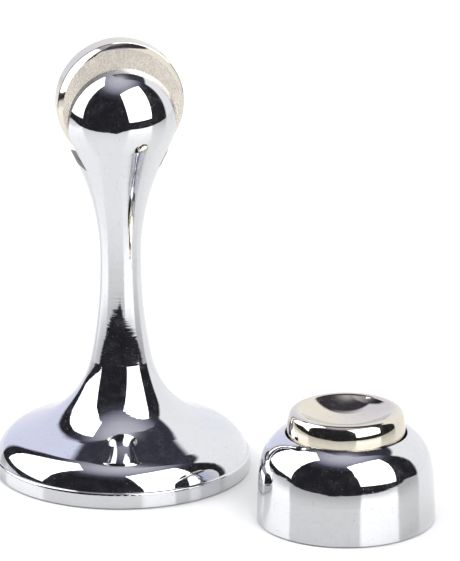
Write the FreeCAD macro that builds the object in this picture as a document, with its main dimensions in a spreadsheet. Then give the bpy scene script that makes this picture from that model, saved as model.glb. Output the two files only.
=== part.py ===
import FreeCAD, Part
import math
import os
import re
import Sketcher

# Magnetic floor door holder. The origin is the centre of the pillar's underside, on the floor, with +Z up.
# The disc on the pillar's head faces +Y. The catch, which goes on the door, stands on the floor beside it.

Vector = FreeCAD.Vector

os.makedirs("parts", exist_ok=True)
doc = FreeCAD.newDocument("floor_door_holder")

# ---------------------------------------------------------------- driving dimensions, in mm

DIMENSIONS = {
    # pillar, outside
    "rim_radius": 24.0,
    "rim_height": 2.88,
    "rim_round": 0.45,
    "corner_round": 6.56,
    "corner_centre_radius": 17.17,
    "flare_round": 17.15,
    "flare_top_height": 21.34,
    "neck_round": 90.7,
    "waist_radius": 3.83,
    "waist_low": 40.08,
    "waist_high": 41.44,
    "shoulder_round": 42.8,
    "ball_radius": 10.89,
    "ball_height": 68.63,
    # pillar, inside and head
    "well_radius": 19.55,
    "well_height": 4.8,
    "well_roof_radius": 17.6,
    "well_roof_height": 5.9,
    "core_radius": 11.0,
    "core_height": 9.0,
    "core_top_radius": 3.6,
    "core_top_height": 17.0,
    "seat_offset": 4.0,
    "disc_height": 71.54,
    "pocket_radius": 13.0,
    # floor plate
    "pan_radius": 19.45,
    "pan_floor": 2.2,
    "pan_hole": 5.0,
    "pan_height": 4.2,
    "pan_wall": 1.8,
    "groove_height": 2.3,
    "groove_depth": 0.8,
    "floor_screw_circle": 12.0,
    "floor_screw_hole": 2.1,
    "floor_screw_sink": 3.3,
    # set screws and the screw of the head
    "set_screw_radius": 1.5,
    "set_screw_hole": 1.53,
    "base_set_screw_length": 3.9,
    "catch_set_screw_length": 2.6,
    "point_gap": 0.25,
    "hex_key": 1.5,
    "hex_depth": 1.2,
    "head_screw_radius": 1.5,
    "head_screw_hole": 1.6,
    "head_screw_depth": 4.6,
    "head_screw_head": 2.9,
    "cross_width": 0.8,
    "cross_reach": 1.7,
    "cross_depth": 1.1,
    # disc, measured along its own axis from the seat
    "pot_back_radius": 10.94,
    "pot_flare_radius": 11.66,
    "pot_flare_top": 1.55,
    "pot_flare_round": 4.5,
    "pot_radius": 11.77,
    "pot_step_top": 1.62,
    "pot_length": 6.3,
    "pot_rim_round": 1.3,
    "pot_floor": 1.6,
    "pot_bore": 9.9,
    "magnet_radius": 9.35,
    "magnet_bore": 2.65,
    "magnet_length": 2.8,
    "plate_edge": 5.9,
    "plate_bevel": 0.3,
    "plate_centre": 5.0,
    "plate_dish_round": 46.5,
    "washer_radius": 4.2,
    "washer_thick": 0.6,
    # catch: its place and its housing
    "catch_x": 36.6,
    "catch_y": -34.4,
    "cup_radius": 16.46,
    "cup_wall_radius": 16.2,
    "cup_wall_height": 7.2,
    "cup_side_round": 21.3,
    "cup_top_round": 7.7,
    "cup_lip_radius": 11.45,
    "cup_lip_height": 16.52,
    "cup_lip_round": 0.3,
    "cup_mouth_radius": 11.15,
    "cup_mouth_low": 15.2,
    "cup_bore": 14.2,
    "cup_bore_height": 7.4,
    "cup_roof_radius": 12.9,
    "cup_roof_height": 12.2,
    # catch plate and hub
    "catch_pan_radius": 14.15,
    "catch_pan_floor": 1.8,
    "catch_pan_height": 5.2,
    "catch_pan_wall": 1.4,
    "catch_groove_height": 3.2,
    "catch_groove_depth": 0.7,
    "catch_screw_circle": 9.3,
    "catch_screw_hole": 1.6,
    "catch_screw_sink": 2.4,
    "hub_radius": 5.0,
    "hub_foot_radius": 5.8,
    "hub_foot_height": 2.8,
    "hub_height": 9.2,
    "hub_clip_bore": 4.3,
    "hub_shelf": 5.0,
    "bush_radius": 3.6,
    # knob, stem, clip, washer and spring
    "running_gap": 0.05,
    "knob_radius": 10.9,
    "knob_low": 11.9,
    "knob_wall_top": 17.5,
    "knob_side_round": 7.0,
    "knob_rim_round": 1.4,
    "knob_dish_round": 15.0,
    "knob_dish_bottom": 18.01,
    "knob_bore": 9.3,
    "knob_roof": 16.4,
    "knob_boss_radius": 4.0,
    "knob_boss_low": 13.4,
    "stem_radius": 2.5,
    "stem_low": 3.4,
    "stem_thread": 1.5,
    "stem_thread_top": 16.2,
    "stem_groove": 1.8,
    "clip_low": 4.25,
    "clip_thick": 0.7,
    "clip_radius": 4.0,
    "clip_opening": 1.3,
    "flat_washer_bore": 4.3,
    "flat_washer_radius": 8.7,
    "flat_washer_thick": 0.6,
    "spring_radius": 7.4,
    "spring_wire": 0.8,
    "spring_turns": 5.0,
}


def fill_sheet(rows):
    """Put each dimension in a cell of its own, with its alias."""
    sheet = doc.addObject("Spreadsheet::Sheet", "dims")
    for number, (alias, value) in enumerate(rows.items(), start=1):
        sheet.set("A%d" % number, alias)
        sheet.set("B%d" % number, str(value))
        sheet.setAlias("B%d" % number, alias)
    doc.recompute()
    return sheet


dims = fill_sheet(DIMENSIONS)


def size(words):
    """Value of an expression in the sheet's aliases."""
    value = dims.evalExpression(words)
    return float(getattr(value, "Value", value))


def bind(feature, target, words):
    """Bind a property or a constraint to an expression in the sheet's aliases."""

    def from_sheet(found):
        word = found.group()
        return "dims." + word if word in DIMENSIONS else word

    feature.setExpression(target, re.sub(r"[a-z][a-z_]*", from_sheet, words))


# ---------------------------------------------------------------- bodies and sketches


def new_body(label):
    body = doc.addObject("PartDesign::Body", label)
    body.Label = label
    return body


def origin_feature(body, role):
    """One of the body's own origin planes or axes."""
    for feature in body.Origin.OriginFeatures:
        if feature.Role == role:
            return feature
    raise ValueError(role)


def new_sketch(body, name, role, lift="0"):
    """Sketch on an origin plane, moved along the plane's normal. The XZ plane's normal is -Y."""
    sketch = body.newObject("Sketcher::SketchObject", body.Label + "_" + name)
    sketch.AttachmentSupport = (origin_feature(body, role), [""])
    sketch.MapMode = "FlatFace"
    bind(sketch, "AttachmentOffset.Base.z", lift)
    return sketch


def constrain(sketch, kind, where, words):
    """Dimension that follows the sheet."""
    row = sketch.addConstraint(Sketcher.Constraint(kind, *where, size(words)))
    bind(sketch, "Constraints[%d]" % row, words)


def pin(sketch, edge, end, across, up):
    """Place a point of an edge from the sketch's axes. A plain number is only a start value."""
    for kind, words, axis in (("DistanceX", across, -2), ("DistanceY", up, -1)):
        if not isinstance(words, str):
            continue
        if abs(size(words)) < 1e-9:
            sketch.addConstraint(Sketcher.Constraint("PointOnObject", edge, end, axis))
        else:
            constrain(sketch, kind, (-1, 1, edge, end), words)


def arc_between(start, end, radius, left):
    """Arc from start to end, the shorter way, with its centre on the left or the right of the way."""
    along = end - start
    middle = (start + end) / 2
    across = Vector(-along.y, along.x, 0).normalize()
    reach = math.sqrt(max(radius ** 2 - along.Length ** 2 / 4, 0.0))
    centre = middle + across * (reach if left else -reach)
    first, last = (start, end) if left else (end, start)
    begin = math.atan2(first.y - centre.y, first.x - centre.x)
    finish = math.atan2(last.y - centre.y, last.x - centre.x)
    if finish < begin:
        finish += 2 * math.pi
    return Part.ArcOfCircle(Part.Circle(centre, Vector(0, 0, 1), radius), begin, finish)


def value_of(number_or_words):
    return size(number_or_words) if isinstance(number_or_words, str) else number_or_words


def draw_outline(sketch, corners, smooth=(), centres=None):
    """Closed outline.

    A corner is (across, up), or (across, up, radius, side) where an arc leaves it, with its centre on
    that side of the way. At a smooth corner the two edges are tangent. centres pins the centre of the
    arc that leaves a corner.
    """
    points = [Vector(value_of(corner[0]), value_of(corner[1]), 0) for corner in corners]
    count = len(corners)
    ends = []
    for index, corner in enumerate(corners):
        start, end = points[index], points[(index + 1) % count]
        left = len(corner) > 2 and corner[3] == "left"
        if len(corner) == 2:
            sketch.addGeometry(Part.LineSegment(start, end), False)
        else:
            sketch.addGeometry(arc_between(start, end, size(corner[2]), left), False)
        ends.append((1, 2) if left or len(corner) == 2 else (2, 1))
    for index in range(count):
        before = (index - 1) % count
        kind = "Tangent" if index in smooth else "Coincident"
        sketch.addConstraint(
            Sketcher.Constraint(kind, before, ends[before][1], index, ends[index][0]))
    for index, corner in enumerate(corners):
        pin(sketch, index, ends[index][0], corner[0], corner[1])
        if len(corner) > 2:
            constrain(sketch, "Radius", (index,), corner[2])
    for index, (across, up) in (centres or {}).items():
        pin(sketch, index, 3, across, up)


def revolve(body, sketch):
    turned = body.newObject("PartDesign::Revolution", body.Label + "_turned")
    turned.Profile = sketch
    turned.ReferenceAxis = (sketch, ["V_Axis"])
    turned.Angle = 360
    return turned


def turned_body(label, corners, smooth=(), centres=None):
    """Body turned about Z from an outline in the XZ plane."""
    body = new_body(label)
    sketch = new_sketch(body, "outline", "XZ_Plane")
    draw_outline(sketch, corners, smooth, centres)
    revolve(body, sketch)
    return body


def check_cut(body, before):
    """Recompute, and stop if the body's last feature took nothing away."""
    doc.recompute()
    if not body.Shape.Volume < before - 1e-6:
        raise RuntimeError(body.Label + ": a cut takes nothing away")


def cut_pocket(body, sketch, name, length, reverse):
    """Pocket of a stated length. reverse sends it along the sketch's normal."""
    doc.recompute()
    before = body.Shape.Volume
    pocket = body.newObject("PartDesign::Pocket", body.Label + "_" + name)
    pocket.Profile = sketch
    pocket.Type = 0
    pocket.Reversed = reverse
    bind(pocket, "Length", length)
    check_cut(body, before)


def round_pocket(body, name, lift, centre, radius, length, reverse):
    """Round pocket from a plane parallel to XZ."""
    sketch = new_sketch(body, name + "_circle", "XZ_Plane", lift)
    circle = Part.Circle(Vector(size(centre[0]), size(centre[1]), 0), Vector(0, 0, 1), size(radius))
    sketch.addGeometry(circle, False)
    constrain(sketch, "Radius", (0,), radius)
    pin(sketch, 0, 3, *centre)
    cut_pocket(body, sketch, name, length, reverse)


def sink_screw_holes(body, circle, hole, sink, thick):
    """Three countersunk holes on a circle, sunk from the top of a plate of the stated thickness."""
    sketch = new_sketch(body, "sunk_outline", "XZ_Plane")
    bind(sketch, "AttachmentOffset.Base.x", circle)
    over = thick + " + 0.5"
    draw_outline(sketch, [
        ("0", "0"),
        (hole, "0"),
        (hole, "%s - %s + %s" % (thick, sink, hole)),
        (sink, thick),
        (sink, over),
        ("0", over),
    ])
    doc.recompute()
    before = body.Shape.Volume
    groove = body.newObject("PartDesign::Groove", body.Label + "_sunk_hole")
    groove.Profile = sketch
    groove.ReferenceAxis = (sketch, ["V_Axis"])
    groove.Angle = 360
    check_cut(body, before)
    before = body.Shape.Volume
    pattern = body.newObject("PartDesign::PolarPattern", body.Label + "_sunk_holes")
    pattern.Originals = [groove]
    pattern.Axis = (origin_feature(body, "Z_Axis"), [""])
    pattern.Angle = 360
    pattern.Occurrences = 3
    body.Tip = pattern
    check_cut(body, before)


def cut_polygon(body, name, corners, top, depth):
    """Pocket of a polygon down from a plane parallel to XY."""
    sketch = new_sketch(body, name + "_outline", "XY_Plane", top)
    draw_outline(sketch, corners)
    cut_pocket(body, sketch, name, depth, False)


def place(body, across, back, up):
    for letter, words in (("x", across), ("y", back), ("z", up)):
        bind(body, "Placement.Base." + letter, words)


def lay_along_y(body):
    """Turn a body about Z so that its axis runs along +Y."""
    body.Placement = FreeCAD.Placement(Vector(0, 0, 0), FreeCAD.Rotation(Vector(1, 0, 0), -90))


def place_on_head(body):
    """Stand a turned body on the seat, along the disc's axis."""
    lay_along_y(body)
    place(body, "0", "-seat_offset", "disc_height")


def place_in_catch(body):
    place(body, "catch_x", "catch_y", "0")


# ---------------------------------------------------------------- floor unit


def cross_tangent(first, first_radius, second, second_radius, turn):
    """Ends of the line that touches two circles and passes between them."""
    gap = second - first
    side = math.atan2(gap.y, gap.x) + turn * math.asin((first_radius + second_radius) / gap.Length)
    across = Vector(math.sin(side), -math.cos(side), 0) * turn
    return first + across * first_radius, second - across * second_radius


def make_pillar():
    """Casting: flared base, waist and ball, turned, then cut flat for the disc and bored."""
    corner_radius, flare_radius = size("corner_round"), size("flare_round")
    shoulder_radius, ball_radius = size("shoulder_round"), size("ball_radius")
    drop = math.sqrt(corner_radius ** 2 - size("rim_radius - rim_round - corner_centre_radius") ** 2)
    corner = Vector(size("corner_centre_radius"), size("rim_height") - drop, 0)
    neck = Vector(size("waist_radius + neck_round"), size("waist_low"), 0)
    rise = size("waist_low - flare_top_height")
    neck_run = math.sqrt(size("neck_round") ** 2 - rise ** 2)
    neck_foot = Vector(neck.x - neck_run, size("flare_top_height"), 0)
    flare = neck_foot + (neck - neck_foot).normalize() * flare_radius
    corner_top, dome_top = cross_tangent(corner, corner_radius, flare, flare_radius, 1)
    shoulder = Vector(size("waist_radius + shoulder_round"), size("waist_high"), 0)
    ball = Vector(0, size("ball_height"), 0)
    line_foot, line_top = cross_tangent(shoulder, shoulder_radius, ball, ball_radius, -1)
    body = turned_body("pillar", [
        ("well_radius", "0"),
        ("rim_radius", "0"),
        ("rim_radius", "rim_height - rim_round", "rim_round", "left"),
        ("rim_radius - rim_round", "rim_height", "corner_round", "left"),
        (corner_top.x, corner_top.y),
        (dome_top.x, dome_top.y, "flare_round", "right"),
        (neck_foot.x, "flare_top_height", "neck_round", "right"),
        ("waist_radius", "waist_low"),
        ("waist_radius", "waist_high", "shoulder_round", "right"),
        (line_foot.x, line_foot.y),
        (line_top.x, line_top.y, "ball_radius", "left"),
        ("0", ball.y + ball_radius),
        ("0", "core_top_height"),
        ("core_top_radius", "core_top_height"),
        ("core_radius", "core_height"),
        ("well_roof_radius", "well_roof_height"),
        ("well_radius", "well_height"),
    ], smooth=range(4, 11), centres={3: ("corner_centre_radius", 0.0), 10: ("0", "ball_height")})
    middle = ("0", "disc_height")
    round_pocket(body, "seat", "seat_offset", middle, "pocket_radius", "3 * ball_radius", False)
    round_pocket(body, "recess", "seat_offset", middle, "washer_radius + running_gap", "washer_thick", True)
    round_pocket(body, "tapped", "seat_offset", middle, "head_screw_radius", "head_screw_depth + 0.5", True)
    round_pocket(body, "set_screw_hole", "-rim_radius - 1", ("0", "groove_height"), "set_screw_hole",
                 "rim_radius - well_radius + 2", True)
    return body


def grooved_pan(label, hole, radius, wall, floor, height, groove_height, groove_depth):
    """Pressed pan with a hole in the middle and a V groove round its edge for a set screw's point."""
    rim = "%s - %s" % (radius, wall)
    return turned_body(label, [
        (hole, "0"),
        (radius, "0"),
        (radius, "%s - %s" % (groove_height, groove_depth)),
        ("%s - %s" % (radius, groove_depth), groove_height),
        (radius, "%s + %s" % (groove_height, groove_depth)),
        (radius, height),
        (rim, height),
        (rim, floor),
        (hole, floor),
    ])


def make_floor_plate():
    body = grooved_pan("floor_plate", "pan_hole", "pan_radius", "pan_wall", "pan_floor", "pan_height",
                       "groove_height", "groove_depth")
    sink_screw_holes(body, "floor_screw_circle", "floor_screw_hole", "floor_screw_sink", "pan_floor")
    return body


def make_set_screw(label, length):
    """Socket set screw with a cone point, its point at the origin and its axis along +Y."""
    body = turned_body(label, [
        ("0", "0"),
        ("set_screw_radius", "set_screw_radius"),
        ("set_screw_radius", length),
        ("0", length),
    ])
    reach = "hex_key / sqrt(3)"
    hexagon = [("%s * cos(%d deg)" % (reach, angle), "%s * sin(%d deg)" % (reach, angle))
               for angle in range(0, 360, 60)]
    cut_polygon(body, "socket", hexagon, length, "hex_depth")
    lay_along_y(body)
    return body


def make_base_set_screw():
    body = make_set_screw("base_set_screw", "base_set_screw_length")
    place(body, "0", "pan_radius - groove_depth + point_gap", "groove_height")
    return body


# ---------------------------------------------------------------- disc on the head


def make_head_washer():
    body = turned_body("head_washer", [
        ("head_screw_hole", "-washer_thick"),
        ("washer_radius", "-washer_thick"),
        ("washer_radius", "0"),
        ("head_screw_hole", "0"),
    ])
    place_on_head(body)
    return body


def make_magnet_pot():
    """Pot with a flat back, a hollow flare, a small step, a straight wall and a rounded rim."""
    crest = "pot_length - pot_rim_round"
    rim_run = "pot_radius - pot_rim_round - pot_bore"
    body = turned_body("magnet_pot", [
        ("head_screw_hole", "0"),
        ("pot_back_radius", "0", "pot_flare_round", "right"),
        ("pot_flare_radius", "pot_flare_top"),
        ("pot_radius", "pot_step_top"),
        ("pot_radius", crest, "pot_rim_round", "left"),
        ("pot_bore", "%s + sqrt(pot_rim_round ^ 2 - (%s) ^ 2)" % (crest, rim_run)),
        ("pot_bore", "pot_floor"),
        ("head_screw_hole", "pot_floor"),
    ])
    place_on_head(body)
    return body


def make_ring_magnet():
    body = turned_body("ring_magnet", [
        ("magnet_bore", "pot_floor"),
        ("magnet_radius", "pot_floor"),
        ("magnet_radius", "pot_floor + magnet_length"),
        ("magnet_bore", "pot_floor + magnet_length"),
    ])
    place_on_head(body)
    return body


def make_spacer_ring():
    body = turned_body("spacer_ring", [
        ("magnet_radius", "pot_floor"),
        ("pot_bore", "pot_floor"),
        ("pot_bore", "pot_floor + magnet_length"),
        ("magnet_radius", "pot_floor + magnet_length"),
    ])
    place_on_head(body)
    return body


def make_core_bush():
    """Bush through the magnet, with the lower part of the screw's countersink in its mouth."""
    top = "pot_floor + magnet_length"
    body = turned_body("core_bush", [
        ("head_screw_hole", "pot_floor"),
        ("magnet_bore", "pot_floor"),
        ("magnet_bore", top),
        ("head_screw_head - plate_centre + %s" % top, top),
        ("head_screw_hole", "plate_centre - head_screw_head + head_screw_hole"),
    ])
    place_on_head(body)
    return body


def make_face_plate():
    """Plate with a flat back and a shallow dished face, countersunk in the middle."""
    back = "pot_floor + magnet_length"
    body = turned_body("face_plate", [
        ("head_screw_head - plate_centre + %s" % back, back),
        ("pot_bore", back),
        ("pot_bore", "plate_edge - plate_bevel"),
        ("pot_bore - plate_bevel", "plate_edge", "plate_dish_round", "right"),
        ("head_screw_head", "plate_centre"),
    ])
    place_on_head(body)
    return body


def make_head_screw():
    """Countersunk screw with a cross recess. Its cone stands a running gap off the plate's."""
    head = "head_screw_head - sqrt(2) * running_gap"
    body = turned_body("head_screw", [
        ("0", "-head_screw_depth"),
        ("head_screw_radius", "-head_screw_depth"),
        ("head_screw_radius", "plate_centre - (%s) + head_screw_radius" % head),
        (head, "plate_centre"),
        ("0", "plate_centre"),
    ])
    half, reach = "cross_width / 2", "cross_reach"
    quarter = [(reach, half), (half, half), (half, reach)]
    corners = []
    for turn in range(4):
        for across, up in quarter:
            for _ in range(turn):
                across, up = "-(%s)" % up, across
            corners.append((across, up))
    cut_polygon(body, "cross", corners, "plate_centre", "cross_depth")
    place_on_head(body)
    return body


# ---------------------------------------------------------------- catch


def crossing(first, first_reach, second, second_reach):
    """Point at these distances from two others, on the right of the way from the first to the second."""
    gap = second - first
    near, far = first_reach ** 2 + gap.Length ** 2, second_reach ** 2
    bend = math.acos((near - far) / (2 * first_reach * gap.Length))
    angle = math.atan2(gap.y, gap.x) - bend
    return first + Vector(math.cos(angle), math.sin(angle), 0) * first_reach


def make_catch_housing():
    """Cup with a nearly straight wall, a domed shoulder and a round mouth."""
    lean = math.atan2(size("cup_radius - cup_wall_radius"), size("cup_wall_height"))
    side_round, top_round = size("cup_side_round"), size("cup_top_round")
    side_centre = Vector(size("cup_wall_radius") - side_round * math.cos(lean),
                         size("cup_wall_height") - side_round * math.sin(lean), 0)
    lip = Vector(size("cup_lip_radius"), size("cup_lip_height"), 0)
    top_centre = crossing(side_centre, side_round - top_round, lip, top_round)
    joint = top_centre + (top_centre - side_centre).normalize() * top_round
    body = turned_body("catch_housing", [
        ("cup_bore", "0"),
        ("cup_radius", "0"),
        ("cup_wall_radius", "cup_wall_height", "cup_side_round", "left"),
        (joint.x, joint.y, "cup_top_round", "left"),
        ("cup_lip_radius", "cup_lip_height", "cup_lip_round", "left"),
        ("cup_mouth_radius", "cup_lip_height - cup_lip_round"),
        ("cup_mouth_radius", "cup_mouth_low"),
        ("cup_roof_radius", "cup_roof_height"),
        ("cup_bore", "cup_bore_height"),
    ], smooth=(2, 3))
    place_in_catch(body)
    round_pocket(body, "set_screw_hole", "-cup_radius - 1", ("0", "catch_groove_height"),
                 "set_screw_hole", "cup_radius - cup_bore + 2", True)
    return body


def make_catch_plate():
    body = grooved_pan("catch_plate", "hub_clip_bore", "catch_pan_radius", "catch_pan_wall",
                       "catch_pan_floor", "catch_pan_height", "catch_groove_height", "catch_groove_depth")
    sink_screw_holes(body, "catch_screw_circle", "catch_screw_hole", "catch_screw_sink", "catch_pan_floor")
    doc.recompute()
    place_in_catch(body)
    return body


def make_catch_set_screw():
    body = make_set_screw("catch_set_screw", "catch_set_screw_length")
    place(body, "catch_x", "catch_y + catch_pan_radius - catch_groove_depth + point_gap",
          "catch_groove_height")
    return body


def make_catch_hub():
    """Boss on the catch plate: a seat for the bush above, and room for the stem's clip below."""
    body = turned_body("catch_hub", [
        ("hub_clip_bore", "catch_pan_floor"),
        ("hub_foot_radius", "catch_pan_floor"),
        ("hub_foot_radius", "hub_foot_height"),
        ("hub_radius", "hub_foot_height"),
        ("hub_radius", "hub_height"),
        ("bush_radius", "hub_height"),
        ("bush_radius", "hub_shelf"),
        ("hub_clip_bore", "hub_shelf"),
    ])
    place_in_catch(body)
    return body


def make_guide_bush():
    body = turned_body("guide_bush", [
        ("stem_radius + running_gap", "hub_shelf"),
        ("bush_radius", "hub_shelf"),
        ("bush_radius", "hub_height"),
        ("stem_radius + running_gap", "hub_height"),
    ])
    place_in_catch(body)
    return body


def make_knob():
    """Round keeper with a dished face, hollow below, with a tapped boss for the stem."""
    side_round, rim_round = size("knob_side_round"), size("knob_rim_round")
    dish_round = size("knob_dish_round")
    side_centre = Vector(size("knob_radius") - side_round, size("knob_wall_top"), 0)
    dish_centre = Vector(0, size("knob_dish_bottom") + dish_round, 0)
    rim_centre = crossing(side_centre, side_round - rim_round, dish_centre, dish_round + rim_round)
    rim_foot = rim_centre + (rim_centre - side_centre).normalize() * rim_round
    dish_edge = rim_centre + (dish_centre - rim_centre).normalize() * rim_round
    body = turned_body("knob", [
        ("0", "knob_roof"),
        ("stem_thread", "knob_roof"),
        ("stem_thread", "knob_boss_low"),
        ("knob_boss_radius", "knob_boss_low"),
        ("knob_boss_radius", "knob_roof"),
        ("knob_bore", "knob_roof"),
        ("knob_bore", "knob_low"),
        ("knob_radius", "knob_low"),
        ("knob_radius", "knob_wall_top", "knob_side_round", "left"),
        (rim_foot.x, rim_foot.y, "knob_rim_round", "left"),
        (dish_edge.x, dish_edge.y, "knob_dish_round", "right"),
        ("0", "knob_dish_bottom"),
    ], smooth=(8, 9, 10), centres={10: ("0", dish_centre.y)})
    place_in_catch(body)
    return body


def make_stem():
    """Pin with a groove for the clip at its foot and a thread at its top."""
    body = turned_body("stem", [
        ("0", "stem_low"),
        ("stem_radius", "stem_low"),
        ("stem_radius", "clip_low - running_gap"),
        ("stem_groove", "clip_low - running_gap"),
        ("stem_groove", "clip_low + clip_thick + running_gap"),
        ("stem_radius", "clip_low + clip_thick + running_gap"),
        ("stem_radius", "knob_boss_low"),
        ("stem_thread", "knob_boss_low"),
        ("stem_thread", "stem_thread_top"),
        ("0", "stem_thread_top"),
    ])
    place_in_catch(body)
    return body


def make_retaining_clip():
    """Open clip in the stem's groove, under the bush."""
    top = "clip_low + clip_thick"
    body = turned_body("retaining_clip", [
        ("stem_groove + running_gap", "clip_low"),
        ("clip_radius", "clip_low"),
        ("clip_radius", top),
        ("stem_groove + running_gap", top),
    ])
    cut_polygon(body, "opening", [
        ("-clip_opening", "-clip_radius - 1"),
        ("clip_opening", "-clip_radius - 1"),
        ("clip_opening", "0"),
        ("-clip_opening", "0"),
    ], top, "clip_thick")
    place_in_catch(body)
    return body


def make_spring_washer():
    low = "knob_roof - flat_washer_thick"
    body = turned_body("spring_washer", [
        ("flat_washer_bore", low),
        ("flat_washer_radius", low),
        ("flat_washer_radius", "knob_roof"),
        ("flat_washer_bore", "knob_roof"),
    ])
    place_in_catch(body)
    return body


def make_keeper_spring():
    """Open coil between the catch plate and the washer."""
    body = new_body("keeper_spring")
    sketch = new_sketch(body, "wire", "XZ_Plane")
    low = "catch_pan_floor + spring_wire / 2 + running_gap"
    centre = Vector(size("spring_radius"), size(low), 0)
    sketch.addGeometry(Part.Circle(centre, Vector(0, 0, 1), size("spring_wire / 2")), False)
    constrain(sketch, "Radius", (0,), "spring_wire / 2")
    pin(sketch, 0, 3, "spring_radius", low)
    doc.recompute()
    coil = body.newObject("PartDesign::AdditiveHelix", "keeper_spring_coil")
    coil.Profile = sketch
    coil.ReferenceAxis = (sketch, ["V_Axis"])
    coil.Mode = "height-turns-angle"
    bind(coil, "Turns", "spring_turns")
    bind(coil, "Height", "knob_roof - flat_washer_thick - catch_pan_floor - spring_wire - 2 * running_gap")
    place_in_catch(body)
    return body


MAKERS = [
    make_pillar, make_floor_plate, make_base_set_screw,
    make_head_washer, make_magnet_pot, make_ring_magnet, make_spacer_ring, make_core_bush,
    make_face_plate, make_head_screw,
    make_catch_housing, make_catch_plate, make_catch_hub, make_guide_bush, make_catch_set_screw,
    make_knob, make_stem, make_retaining_clip, make_spring_washer, make_keeper_spring,
]

# ---------------------------------------------------------------- checks and export

bodies = [maker() for maker in MAKERS]
doc.recompute()

for feature in doc.Objects:
    if "Invalid" in feature.State or "Error" in feature.State:
        raise RuntimeError(feature.Label + ": " + ", ".join(feature.State))
    if feature.isDerivedFrom("Sketcher::SketchObject") and feature.solve() != 0:
        raise RuntimeError(feature.Label + ": the sketch doesn't solve")

for body in bodies:
    shape = body.Shape
    if shape.isNull() or not shape.isValid() or len(shape.Solids) != 1:
        raise RuntimeError(body.Label + ": not one valid solid")
    print("%-16s %10.2f mm3" % (body.Label, shape.Volume))

for body in bodies:
    body.Shape.exportStep("parts/" + body.Label + ".step")
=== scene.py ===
import math

import bpy
from mathutils import Matrix, Vector


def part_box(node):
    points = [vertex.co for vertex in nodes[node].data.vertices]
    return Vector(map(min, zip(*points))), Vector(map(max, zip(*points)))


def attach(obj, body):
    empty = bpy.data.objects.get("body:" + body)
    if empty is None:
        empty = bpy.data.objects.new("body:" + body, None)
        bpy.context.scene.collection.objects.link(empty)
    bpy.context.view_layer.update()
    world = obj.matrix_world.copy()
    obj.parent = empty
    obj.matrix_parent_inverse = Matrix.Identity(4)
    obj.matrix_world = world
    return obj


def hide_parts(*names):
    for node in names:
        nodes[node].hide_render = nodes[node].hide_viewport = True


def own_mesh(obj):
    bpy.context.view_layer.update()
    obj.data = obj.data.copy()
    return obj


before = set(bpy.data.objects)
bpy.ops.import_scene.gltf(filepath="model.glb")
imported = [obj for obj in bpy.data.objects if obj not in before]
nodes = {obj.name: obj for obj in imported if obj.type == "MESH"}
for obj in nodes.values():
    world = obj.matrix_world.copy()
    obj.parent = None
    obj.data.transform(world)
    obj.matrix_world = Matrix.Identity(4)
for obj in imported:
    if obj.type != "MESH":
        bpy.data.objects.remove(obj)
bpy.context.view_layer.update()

MM = 0.001

# ---------------------------------------------------------------- places
# Headings are counted from the direction of the camera, positive to the right of the picture.

CAMERA_TURN = math.radians(9.0)
CAMERA_PITCH = math.radians(18.25)
CAMERA_ROLL = math.radians(0.24)
CAMERA_PLACE = Vector((-0.1570, -1.1214, 0.4097))
CAMERA_LENS = 410.2
SENSOR_WIDTH = 36.0

STUDIO_MIDDLE = Vector((0.015, -0.020, 0.035))


def row_direction(heading):
    """Level direction in the row frame of a heading in degrees."""
    angle = math.radians(heading)
    across, back = math.sin(angle), -math.cos(angle)
    turn_cos, turn_sin = math.cos(CAMERA_TURN), math.sin(CAMERA_TURN)
    return Vector((across * turn_cos + back * turn_sin, back * turn_cos - across * turn_sin, 0))


# ---------------------------------------------------------------- node helpers


def new_material(name):
    """Material with an empty node tree. Returns it, its tree and its output node."""
    material = bpy.data.materials.new(name)
    material.use_nodes = True
    tree = material.node_tree
    tree.nodes.clear()
    output = tree.nodes.new("ShaderNodeOutputMaterial")
    return material, tree, output


def add(tree, kind, **settings):
    """New node. A setting is a property of the node, or the value of an input named with spaces as _."""
    node = tree.nodes.new(kind)
    for name, value in settings.items():
        if hasattr(node, name):
            setattr(node, name, value)
        else:
            node.inputs[name.replace("_", " ")].default_value = value
    return node


def join(tree, out_socket, in_socket):
    tree.links.new(out_socket, in_socket)


def math_node(tree, operation, *values):
    """Math node whose inputs are numbers or sockets. Returns its output."""
    node = tree.nodes.new("ShaderNodeMath")
    node.operation = operation
    for slot, value in enumerate(values):
        if isinstance(value, (int, float)):
            node.inputs[slot].default_value = value
        else:
            join(tree, value, node.inputs[slot])
    return node.outputs[0]


def ramp(tree, factor, stops, interpolation="LINEAR"):
    """Colour ramp over (position, colour) stops. A colour may be a single number for a grey."""
    node = tree.nodes.new("ShaderNodeValToRGB")
    node.color_ramp.interpolation = interpolation
    elements = node.color_ramp.elements
    while len(elements) < len(stops):
        elements.new(0.5)
    for element, (position, colour) in zip(elements, stops):
        element.position = position
        grey = isinstance(colour, (int, float))
        element.color = (colour, colour, colour, 1) if grey else (*colour, 1)
    join(tree, factor, node.inputs["Fac"])
    return node.outputs["Color"]


def noise(tree, vector, scale, detail=3.0, rough=0.5):
    """Noise over a vector, from 0 to 1."""
    node = add(tree, "ShaderNodeTexNoise", Scale=scale, Detail=detail, Roughness=rough)
    join(tree, vector, node.inputs["Vector"])
    return node.outputs["Fac"]


def stretched(tree, vector, scale):
    """Coordinates stretched by a factor on each axis."""
    node = add(tree, "ShaderNodeMapping", Scale=scale)
    join(tree, vector, node.inputs["Vector"])
    return node.outputs["Vector"]


def bump(tree, height, distance, under=None, mask=None):
    """Normal of a height, over another normal, as strong as the mask says."""
    node = add(tree, "ShaderNodeBump", Strength=1.0, Distance=distance)
    join(tree, height, node.inputs["Height"])
    if under is not None:
        join(tree, under, node.inputs["Normal"])
    if mask is not None:
        join(tree, mask, node.inputs["Strength"])
    return node.outputs["Normal"]


# ---------------------------------------------------------------- materials of the object
# The scale of a noise is in features per metre, and a depth is in metres.

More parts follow.
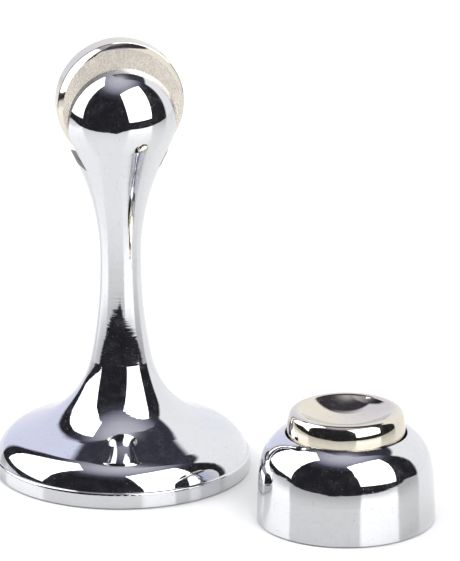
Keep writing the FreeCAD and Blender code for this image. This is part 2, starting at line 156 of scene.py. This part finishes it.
PATCH_SCALE = 90.0
SPECK_SCALE = 2400.0
SPECK_COVER = 0.7
SPECK_ROUGHNESS = 0.35
RING_SCALE = 3200.0
RING_RUN_SCALE = 40.0
PEEL_SCALE = 420.0
TURNING_SCALE = (120.0, 120.0, 2600.0)
DUST_SCALE = 520.0
DUST_COVER = 0.16
DUST_ROUGHNESS = 0.55
SCRATCH_GRAIN_SCALE = 2600.0
BLOTCH_SCALE = 160.0
LINE_SHARE, BLOTCH_SHARE = 0.6, 0.4
MOTTLE_SCALE = 300.0
MOULD_SCALE, MOULD_DEPTH = 1500.0, 4e-6
GRAIN_NOISE = (1800.0, 4.0, 0.7)
# Painted shade of the head's seat under the disc: the dark grainy colours, bump and roughness of the metal
# that stands in for the shadow there.
SEAT_SHADE_DARK, SEAT_SHADE_LIGHT = (0.08, 0.077, 0.073), (0.26, 0.25, 0.235)
SEAT_SHADE_DEPTH = 1.0e-5
SEAT_SHADE_ROUGHNESS = 0.42
PORE_DEPTH = 8e-6


def plated_metal(name, colour, dirt_colour, roughness, ring_axis, ring_depth, peel_depth, turned=None):
    """Bright plate over turned and polished metal.

    ring_axis is the axis that the polishing rings run round. The plate has a faint orange peel,
    patches a little duller than the rest, and fine specks. turned is (foot, top, depth) of a stretch
    of Z where the marks of turning show through.
    """
    material, tree, output = new_material(name)
    place = add(tree, "ShaderNodeTexCoord").outputs["Object"]
    shader = add(tree, "ShaderNodeBsdfPrincipled", Metallic=1.0)

    patches = noise(tree, place, PATCH_SCALE, 4.0)
    specks = noise(tree, place, SPECK_SCALE, 2.0, 0.6)
    speck_mask = ramp(tree, specks, [(0.0, SPECK_COVER), (0.275, SPECK_COVER), (0.310, 0.0), (1.0, 0.0)])
    tone = ramp(tree, patches, [(0.3, tuple(0.975 * part for part in colour)), (0.7, colour)])
    mixed = add(tree, "ShaderNodeMix", data_type="RGBA")
    join(tree, speck_mask, mixed.inputs["Factor"])
    join(tree, tone, mixed.inputs["A"])
    mixed.inputs["B"].default_value = (*dirt_colour, 1)
    join(tree, mixed.outputs["Result"], shader.inputs["Base Color"])

    dull = ramp(tree, patches, [(0.35, roughness), (0.75, roughness * 1.9)])
    rough = math_node(tree, "ADD", dull, math_node(tree, "MULTIPLY", speck_mask, SPECK_ROUGHNESS))
    join(tree, rough, shader.inputs["Roughness"])

    along = [RING_RUN_SCALE] * 3
    along[ring_axis] = RING_SCALE
    rings = noise(tree, stretched(tree, place, along), 1.0, 3.0, 0.6)
    peel = noise(tree, place, PEEL_SCALE, 2.0)
    under = bump(tree, rings, ring_depth)
    if turned is not None:
        foot, top, depth = turned
        parts = add(tree, "ShaderNodeSeparateXYZ")
        join(tree, place, parts.inputs[0])
        share = math_node(tree, "DIVIDE", math_node(tree, "SUBTRACT", parts.outputs["Z"], foot), top - foot)
        mask = ramp(tree, share, [(0.0, 0.0), (0.15, 1.0), (0.75, 1.0), (1.0, 0.0)])
        marks = noise(tree, stretched(tree, place, TURNING_SCALE), 1.0, 2.0)
        under = bump(tree, marks, depth, under, mask)
    join(tree, bump(tree, peel, peel_depth, under), shader.inputs["Normal"])

    dust = add(tree, "ShaderNodeBsdfPrincipled", Metallic=1.0, Roughness=DUST_ROUGHNESS)
    dust.inputs["Base Color"].default_value = (*colour, 1)
    clouds = noise(tree, place, DUST_SCALE, 8.0, 0.85)
    cover = ramp(tree, clouds, [(0.46, 0.0), (0.58, 0.2 * DUST_COVER), (0.70, DUST_COVER)])
    dusty = add(tree, "ShaderNodeMixShader")
    join(tree, cover, dusty.inputs[0])
    join(tree, shader.outputs["BSDF"], dusty.inputs[1])
    join(tree, dust.outputs["BSDF"], dusty.inputs[2])
    join(tree, dusty.outputs[0], output.inputs["Surface"])
    return material


def brushed_metal(name, dark, light, roughness, stretch, scratch_depth, metallic=1.0):
    """Unpolished plate with fine scratches. stretch sets the way they run."""
    material, tree, output = new_material(name)
    place = add(tree, "ShaderNodeTexCoord").outputs["Object"]
    shader = add(tree, "ShaderNodeBsdfPrincipled", Metallic=metallic)
    lines = noise(tree, stretched(tree, place, stretch), 1.0, 5.0, 0.65)
    grain = noise(tree, place, SCRATCH_GRAIN_SCALE, 2.0)
    blotches = noise(tree, place, BLOTCH_SCALE, 3.0)
    both = math_node(tree, "ADD", math_node(tree, "MULTIPLY", lines, LINE_SHARE),
                     math_node(tree, "MULTIPLY", blotches, BLOTCH_SHARE))
    join(tree, ramp(tree, both, [(0.35, dark), (0.65, light)]), shader.inputs["Base Color"])
    low, high = roughness
    join(tree, ramp(tree, lines, [(0.3, low), (0.7, high)]), shader.inputs["Roughness"])
    under = bump(tree, lines, scratch_depth)
    join(tree, bump(tree, grain, scratch_depth * 0.5, under), shader.inputs["Normal"])
    join(tree, shader.outputs["BSDF"], output.inputs["Surface"])
    return material


def moulded_plastic(name, colour, roughness):
    """Natural moulded plastic with a fine texture and slight mottling."""
    material, tree, output = new_material(name)
    place = add(tree, "ShaderNodeTexCoord").outputs["Object"]
    shader = add(tree, "ShaderNodeBsdfPrincipled")
    mottle = noise(tree, place, MOTTLE_SCALE, 3.0)
    shaded = tuple(0.93 * part for part in colour)
    join(tree, ramp(tree, mottle, [(0.3, shaded), (0.7, colour)]), shader.inputs["Base Color"])
    join(tree, ramp(tree, mottle, [(0.3, roughness), (0.7, roughness + 0.1)]), shader.inputs["Roughness"])
    join(tree, bump(tree, noise(tree, place, MOULD_SCALE), MOULD_DEPTH), shader.inputs["Normal"])
    join(tree, shader.outputs["BSDF"], output.inputs["Surface"])
    return material


def sintered_magnet(name):
    """Matt grey sintered body with pores."""
    material, tree, output = new_material(name)
    place = add(tree, "ShaderNodeTexCoord").outputs["Object"]
    shader = add(tree, "ShaderNodeBsdfPrincipled", Metallic=0.3)
    grain = noise(tree, place, *GRAIN_NOISE)
    join(tree, ramp(tree, grain, [(0.3, 0.05), (0.6, 0.11), (0.8, 0.19)]), shader.inputs["Base Color"])
    join(tree, ramp(tree, grain, [(0.3, 0.75), (0.7, 0.5)]), shader.inputs["Roughness"])
    join(tree, bump(tree, grain, PORE_DEPTH), shader.inputs["Normal"])
    join(tree, shader.outputs["BSDF"], output.inputs["Surface"])
    return material


def paint_seat_shade(material, centre, reach, plane):
    """Paint shade on a plated body within a reach of an axis along Y, beyond a plane across it, using a dark
    grainy rough metal in place of the plate.
    """
    tree = material.node_tree
    output = [node for node in tree.nodes if node.type == "OUTPUT_MATERIAL"][0]
    plated = output.inputs["Surface"].links[0].from_socket
    place = add(tree, "ShaderNodeTexCoord").outputs["Object"]
    parts = add(tree, "ShaderNodeSeparateXYZ")
    join(tree, place, parts.inputs[0])
    across, back, up = parts.outputs
    rise = math_node(tree, "SUBTRACT", up, centre)
    far = math_node(tree, "SQRT", math_node(tree, "ADD", math_node(tree, "MULTIPLY", across, across),
                                            math_node(tree, "MULTIPLY", rise, rise)))
    shade_mask = math_node(tree, "MULTIPLY", math_node(tree, "LESS_THAN", far, reach),
                       math_node(tree, "GREATER_THAN", back, plane))
    # Painted shade: dark grainy metal in place of the plate.
    seat_shade = add(tree, "ShaderNodeBsdfPrincipled", Metallic=1.0, Roughness=SEAT_SHADE_ROUGHNESS)
    grain = noise(tree, place, *GRAIN_NOISE)
    join(tree, ramp(tree, grain, [(0.3, SEAT_SHADE_DARK), (0.7, SEAT_SHADE_LIGHT)]), seat_shade.inputs["Base Color"])
    join(tree, bump(tree, grain, SEAT_SHADE_DEPTH), seat_shade.inputs["Normal"])
    either = add(tree, "ShaderNodeMixShader")
    join(tree, shade_mask, either.inputs[0])
    join(tree, plated, either.inputs[1])
    join(tree, seat_shade.outputs["BSDF"], either.inputs[2])
    join(tree, either.outputs[0], output.inputs["Surface"])


# ---------------------------------------------------------------- finishes

AXIS_Y, AXIS_Z = 1, 2
CHROME = (0.700, 0.704, 0.722)
CHROME_DIRT = (0.25, 0.25, 0.26)
NICKEL = (0.725, 0.675, 0.575)
NICKEL_DIRT = (0.30, 0.27, 0.22)
TURNED_FOOT, TURNED_TOP, TURNED_DEPTH = 6 * MM, 54 * MM, 6.0e-6

chrome = plated_metal("chrome_plate", CHROME, CHROME_DIRT, roughness=0.028, ring_axis=AXIS_Z,
                      ring_depth=2.2e-7, peel_depth=3.0e-7,
                      turned=(TURNED_FOOT, TURNED_TOP, TURNED_DEPTH))
nickel_knob = plated_metal("nickel_knob", NICKEL, NICKEL_DIRT, roughness=0.045, ring_axis=AXIS_Z,
                           ring_depth=1.5e-7, peel_depth=2.5e-7)
nickel_pot = plated_metal("nickel_pot", NICKEL, NICKEL_DIRT, roughness=0.07, ring_axis=AXIS_Y,
                          ring_depth=3.0e-7, peel_depth=3.0e-7)
nickel_back = brushed_metal("nickel_back", dark=(0.64, 0.585, 0.52), light=(0.86, 0.80, 0.72),
                            roughness=(0.20, 0.34), stretch=(2600.0, 2600.0, 1600.0),
                            scratch_depth=2.5e-6, metallic=0.68)
nickel_face = brushed_metal("nickel_face", dark=(0.52, 0.50, 0.46), light=(0.74, 0.71, 0.66),
                            roughness=(0.22, 0.36), stretch=(500.0, 2600.0, 2600.0),
                            scratch_depth=1.2e-6)
zinc = brushed_metal("zinc_plate", dark=(0.42, 0.43, 0.45), light=(0.64, 0.65, 0.68),
                     roughness=(0.28, 0.44), stretch=(300.0, 1500.0, 1500.0), scratch_depth=2.0e-6)
black_oxide = brushed_metal("black_oxide", dark=(0.018, 0.018, 0.020), light=(0.05, 0.05, 0.055),
                            roughness=(0.35, 0.5), stretch=(1500.0, 300.0, 1500.0),
                            scratch_depth=1.5e-6)
brass = brushed_metal("turned_brass", dark=(0.60, 0.42, 0.17), light=(0.80, 0.60, 0.28),
                      roughness=(0.2, 0.34), stretch=(2000.0, 600.0, 2000.0), scratch_depth=1.5e-6)
spring_wire = brushed_metal("spring_wire", dark=(0.36, 0.37, 0.39), light=(0.56, 0.57, 0.60),
                            roughness=(0.25, 0.4), stretch=(900.0, 900.0, 2400.0),
                            scratch_depth=1.5e-6)
magnet = sintered_magnet("sintered_magnet")
acetal = moulded_plastic("acetal", (0.80, 0.80, 0.76), roughness=0.38)

NODE_MATERIALS = {
    "pillar": chrome,
    "catch_housing": chrome,
    "knob": nickel_knob,
    "magnet_pot": nickel_pot,
    "face_plate": nickel_face,
    "floor_plate": zinc,
    "catch_plate": zinc,
    "catch_hub": zinc,
    "stem": zinc,
    "head_screw": zinc,
    "head_washer": zinc,
    "spring_washer": zinc,
    "base_set_screw": black_oxide,
    "catch_set_screw": black_oxide,
    "spacer_ring": brass,
    "core_bush": brass,
    "retaining_clip": spring_wire,
    "keeper_spring": spring_wire,
    "ring_magnet": magnet,
    "guide_bush": acetal,
}

for name, material in NODE_MATERIALS.items():
    mesh = nodes[name].data
    mesh.materials.clear()
    mesh.materials.append(material)

# Painted shade: the head's seat and the fins beside it get a dark, grainy rough metal in place of the chrome.
# It stands in for the shadow and dark reflection under the disc.
pot_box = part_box("magnet_pot")
pot_centre = (pot_box[0].z + pot_box[1].z) / 2
SEAT_REACH = 13.9 * MM
SEAT_PLANE = pot_box[0].y + 0.03 * MM
chrome_pillar = chrome.copy()
chrome_pillar.name = "chrome_pillar"
paint_seat_shade(chrome_pillar, pot_centre, SEAT_REACH, SEAT_PLANE)
nodes["pillar"].data.materials[0] = chrome_pillar

# The flat back of the pot, against the head, is brushed. The rest of the pot is polished.
BACK_NORMAL = -0.99
BACK_DEPTH = 0.1 * MM
pot_mesh = nodes["magnet_pot"].data
pot_mesh.materials.append(nickel_back)
for face in pot_mesh.polygons:
    if face.normal.y < BACK_NORMAL and face.center.y < pot_box[0].y + BACK_DEPTH:
        face.material_index = 1

# The spring is a copy of its CAD solid, attached to the catch body. The CAD solid itself is hidden.
coil = bpy.data.objects.new("keeper_coil", nodes["keeper_spring"].data.copy())
bpy.context.scene.collection.objects.link(coil)
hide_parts("keeper_spring")
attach(coil, "catch")
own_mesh(coil)

# ---------------------------------------------------------------- studio


def stage_material(name, colour, rough, gloss):
    """Smooth pale sheet with very slight shading."""
    material, tree, output = new_material(name)
    place = add(tree, "ShaderNodeTexCoord").outputs["Object"]
    shader = add(tree, "ShaderNodeBsdfPrincipled", Roughness=rough, Specular_IOR_Level=gloss)
    shade = noise(tree, place, 3.0)
    join(tree, ramp(tree, shade, [(0.3, tuple(0.985 * part for part in colour)), (0.7, colour)]),
         shader.inputs["Base Color"])
    join(tree, shader.outputs["BSDF"], output.inputs["Surface"])
    return material


def stage_mesh(name, corners, faces, material):
    """Mesh that is part of the stage, not of the object."""
    mesh = bpy.data.meshes.new(name)
    mesh.from_pydata([tuple(corner) for corner in corners], [], faces)
    mesh.materials.append(material)
    thing = bpy.data.objects.new(name, mesh)
    bpy.context.scene.collection.objects.link(thing)
    return thing


def show_only_to(thing, *kinds):
    """Let only these kinds of ray see a thing."""
    for kind in ("camera", "diffuse", "glossy", "transmission", "volume_scatter", "shadow"):
        setattr(thing, "visible_" + kind, kind in kinds)


# The pale floor. Reflections see a table of limited size in its place, with the dim room beyond it.
FLOOR_HALF = 4.0
FLOOR_DROP = 0.3 * MM
TABLE_DROP = 0.1 * MM
floor = stage_mesh(
    "floor",
    [Vector((x * FLOOR_HALF, y * FLOOR_HALF, -FLOOR_DROP))
     for x, y in ((-1, -1), (1, -1), (1, 1), (-1, 1))],
    [(0, 1, 2, 3)],
    stage_material("pale_floor", (0.86, 0.86, 0.865), 0.12, 0.5))
show_only_to(floor, "camera", "diffuse")

# (heading, reach) of each corner of the table, in degrees and metres from the axis of the pillar.
TABLE_EDGE = ((-150, 0.95), (-100, 0.50), (-75, 0.29), (-50, 0.235), (-20, 0.220), (-4, 0.195),
              (8, 0.250), (25, 0.320), (50, 0.335), (80, 0.42), (110, 0.60), (150, 0.95), (180, 0.95))
table = stage_mesh(
    "table",
    [row_direction(heading) * reach - Vector((0, 0, TABLE_DROP)) for heading, reach in TABLE_EDGE],
    [tuple(range(len(TABLE_EDGE)))],
    stage_material("white_table", (0.71, 0.71, 0.71), 0.20, 0.4))
show_only_to(table, "glossy")


def studio_shader():
    """Dim room in front, pale ceiling above, and two white sweeps at the sides that meet behind.

    Everything goes by direction from the middle of the dome.
    """
    material, tree, output = new_material("studio_walls")
    place = add(tree, "ShaderNodeTexCoord").outputs["Object"]
    parts = add(tree, "ShaderNodeSeparateXYZ")
    join(tree, place, parts.inputs[0])
    across, back, up = parts.outputs
    heading = math_node(tree, "ARCTAN2", across, math_node(tree, "MULTIPLY", back, -1.0))
    heading = math_node(tree, "ADD", math_node(tree, "DIVIDE", heading, 2 * math.pi), 0.5)
    level = math_node(tree, "SQRT", math_node(tree, "ADD", math_node(tree, "MULTIPLY", across, across),
                                              math_node(tree, "MULTIPLY", back, back)))
    height = math_node(tree, "ARCTAN2", up, level)
    height = math_node(tree, "ADD", math_node(tree, "DIVIDE", height, math.pi), 0.5)

    def turn(degrees):
        return degrees / 360 + 0.5

    def rise(degrees):
        return degrees / 180 + 0.5

    ceiling = (0.66, 0.66, 0.74)
    gap_low, gap_high, gap_fade = (0.04, 0.04, 0.06), (0.05, 0.05, 0.07), (0.13, 0.13, 0.16)

    def sweep(foot, top, edge, gap_end, upper):
        """White up to an edge in degrees, then a dark gap up to gap_end, then up to the ceiling."""
        return ramp(tree, height, [
            (rise(-60), foot), (rise(edge), top), (rise(edge + 3), gap_low), (rise(gap_end), gap_high),
            (rise(gap_end + 6), gap_fade), (rise(80), upper), (rise(86), ceiling)])

    room = ramp(tree, height, [
        (rise(-90), (0.10, 0.10, 0.11)), (rise(-20), (0.020, 0.020, 0.025)),
        (rise(46), (0.020, 0.020, 0.026)), (rise(56), (0.06, 0.06, 0.085)),
        (rise(66), (0.33, 0.33, 0.41)), (rise(75), (0.55, 0.55, 0.62)), (rise(86), ceiling)])
    right_sweep = sweep((1.05, 1.05, 1.06), (1.13, 1.14, 1.16), edge=48, gap_end=69, upper=(0.32, 0.32, 0.37))
    left_sweep = sweep((0.85, 0.87, 1.02), (0.88, 0.91, 1.12), edge=54, gap_end=70, upper=(0.35, 0.35, 0.40))

    def mix(factor, first, second):
        node = add(tree, "ShaderNodeMix", data_type="RGBA")
        join(tree, factor, node.inputs["Factor"])
        join(tree, first, node.inputs["A"])
        join(tree, second, node.inputs["B"])
        return node.outputs["Result"]

    # The two sweeps run into each other behind the object.
    in_left = ramp(tree, heading, [(turn(-144), 1.0), (turn(-141), 0.0), (turn(140), 0.0), (turn(145), 1.0)])
    in_right = ramp(tree, heading, [
        (turn(-180), 0.5), (turn(-155), 0.0), (turn(105), 0.0), (turn(108), 1.0), (turn(155), 1.0),
        (turn(180), 0.5)])
    walls = mix(in_right, mix(in_left, room, left_sweep), right_sweep)
    glow = add(tree, "ShaderNodeEmission", Strength=1.0)
    join(tree, walls, glow.inputs["Color"])
    join(tree, glow.outputs[0], output.inputs["Surface"])
    return material


def studio_dome(radius, rings=32, sides=64):
    """Closed ball round the object, seen only in reflections. Its own axes are the camera's."""
    corners = [Vector((0, 0, -radius))]
    for ring in range(1, rings):
        tilt = math.pi * ring / rings - math.pi / 2
        corners += [radius * Vector((math.cos(tilt) * math.cos(2 * math.pi * side / sides),
                                     math.cos(tilt) * math.sin(2 * math.pi * side / sides),
                                     math.sin(tilt))) for side in range(sides)]
    corners.append(Vector((0, 0, radius)))
    faces = [(0, 1 + (side + 1) % sides, 1 + side) for side in range(sides)]
    for ring in range(rings - 2):
        low, high = 1 + ring * sides, 1 + (ring + 1) * sides
        faces += [(low + side, low + (side + 1) % sides, high + (side + 1) % sides, high + side)
                  for side in range(sides)]
    top = 1 + (rings - 2) * sides
    faces += [(top + side, top + (side + 1) % sides, len(corners) - 1) for side in range(sides)]
    dome = stage_mesh("studio_dome", corners, faces, studio_shader())
    dome.location = STUDIO_MIDDLE
    dome.rotation_euler = (0, 0, -CAMERA_TURN)
    show_only_to(dome, "glossy")


DOME_RADIUS = 1.3
studio_dome(DOME_RADIUS)


def softbox(name, heading, reach, foot, lean, width, height, radiance, colour):
    """Rectangular light that faces the object. reach and foot place its lower edge, and it leans inwards."""
    light = bpy.data.lights.new(name, "AREA")
    light.shape = "RECTANGLE"
    light.size, light.size_y = width, height
    light.energy = radiance * math.pi * width * height
    light.color = colour
    thing = bpy.data.objects.new(name, light)
    outward = row_direction(heading)
    tilt = math.radians(lean)
    up_slope = -outward * math.sin(tilt) + Vector((0, 0, 1)) * math.cos(tilt)
    facing = -outward * math.cos(tilt) - Vector((0, 0, 1)) * math.sin(tilt)
    side = up_slope.cross(-facing)
    centre = Vector((STUDIO_MIDDLE.x, STUDIO_MIDDLE.y, foot)) + outward * reach + up_slope * height / 2
    thing.matrix_world = Matrix.Translation(centre) @ Matrix((side, up_slope, -facing)).transposed().to_4x4()
    bpy.context.scene.collection.objects.link(thing)
    thing.visible_camera = False


softbox("softbox_right", heading=44.0, reach=0.80, foot=0.090, lean=24.0, width=0.71, height=0.95,
        radiance=2.9, colour=(1.0, 1.0, 1.0))
softbox("softbox_left", heading=-102.0, reach=0.50, foot=0.070, lean=2.0, width=0.48, height=1.10,
        radiance=2.7, colour=(0.98, 0.99, 1.0))

WORLD_STRENGTH = 0.85
world = bpy.data.worlds.new("pale_world")
bpy.context.scene.world = world
world.use_nodes = True
background = world.node_tree.nodes["Background"]
background.inputs["Color"].default_value = (1.0, 1.0, 1.0, 1)
background.inputs["Strength"].default_value = WORLD_STRENGTH

# ---------------------------------------------------------------- camera

camera = bpy.data.cameras.new("camera")
camera.sensor_width = SENSOR_WIDTH
camera.lens = CAMERA_LENS
camera.clip_start, camera.clip_end = 0.05, 20.0
camera_object = bpy.data.objects.new("camera", camera)
camera_object.matrix_world = (
    Matrix.Translation(CAMERA_PLACE)
    @ Matrix.Rotation(-CAMERA_TURN, 4, "Z")
    @ Matrix.Rotation(math.pi / 2 - CAMERA_PITCH, 4, "X")
    @ Matrix.Rotation(-CAMERA_ROLL, 4, "Z"))
bpy.context.scene.collection.objects.link(camera_object)
bpy.context.scene.camera = camera_object
bpy.context.scene.view_settings.view_transform = "Standard"
